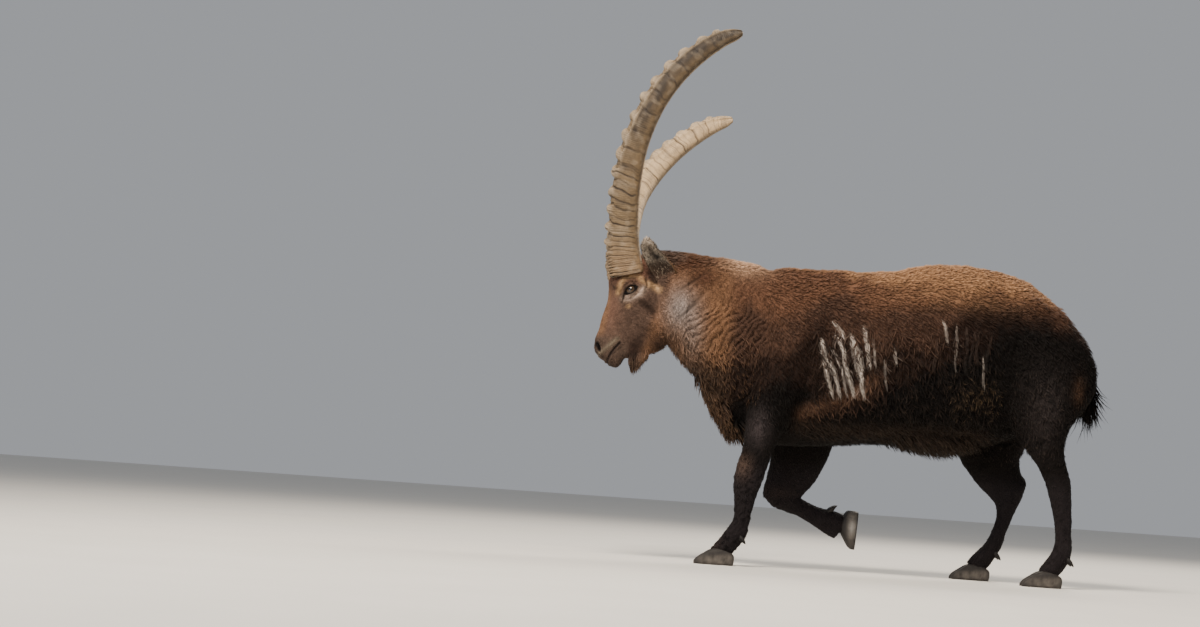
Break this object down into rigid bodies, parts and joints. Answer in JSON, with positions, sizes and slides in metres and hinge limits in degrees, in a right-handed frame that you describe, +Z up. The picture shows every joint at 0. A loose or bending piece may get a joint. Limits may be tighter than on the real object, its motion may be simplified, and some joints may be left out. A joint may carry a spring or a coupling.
{
  "type": "alpine ibex",
  "caption": "Still, life-size adult male ibex in mid stride with tall ridged horns swept back, one forefoot lifted, long hair on brisket, belly, chin and tail.",
  "frame": {"origin": "middle of the bounding box on the floor that the hooves stand on", "axes": "+Z up, the head towards -X, the animal's left side towards -Y"},
  "size_m": [1.4386, 0.6748, 1.4921],
  "materials": {
    "body_fur": "matte short coat",
    "face_fur": "matte short coat",
    "leg_fur": "matte short coat",
    "tail_hair": "matte long hair",
    "horn": "dry ridged horn",
    "hoof": "worn horn",
    "eye": "wet"
  },
  "bodies": {
    "root": {"head": "face_fur", "neck": "body_fur", "tail": "tail_hair", "forearm_left": "leg_fur", "cannon_fore_left": "leg_fur", "forearm_right": "leg_fur", "cannon_fore_right": "leg_fur", "thigh_left": "leg_fur", "cannon_hind_left": "leg_fur", "thigh_right": "leg_fur", "cannon_hind_right": "leg_fur", "torso": "body_fur", "horn_right": "horn", "ear_right": "face_fur", "eye_right": "eye", "horn_left": "horn", "ear_left": "face_fur", "eye_left": "eye", "hoof_fore_left_outer": "hoof", "dewclaw_fore_left_outer": "hoof", "hoof_fore_left_inner": "hoof", "dewclaw_fore_left_inner": "hoof", "hoof_fore_right_inner": "hoof", "dewclaw_fore_right_inner": "hoof", "hoof_fore_right_outer": "hoof", "dewclaw_fore_right_outer": "hoof", "hoof_hind_left_outer": "hoof", "dewclaw_hind_left_outer": "hoof", "hoof_hind_left_inner": "hoof", "dewclaw_hind_left_inner": "hoof", "hoof_hind_right_inner": "hoof", "dewclaw_hind_right_inner": "hoof", "hoof_hind_right_outer": "hoof", "dewclaw_hind_right_outer": "hoof"}
  },
  "joints": []
}
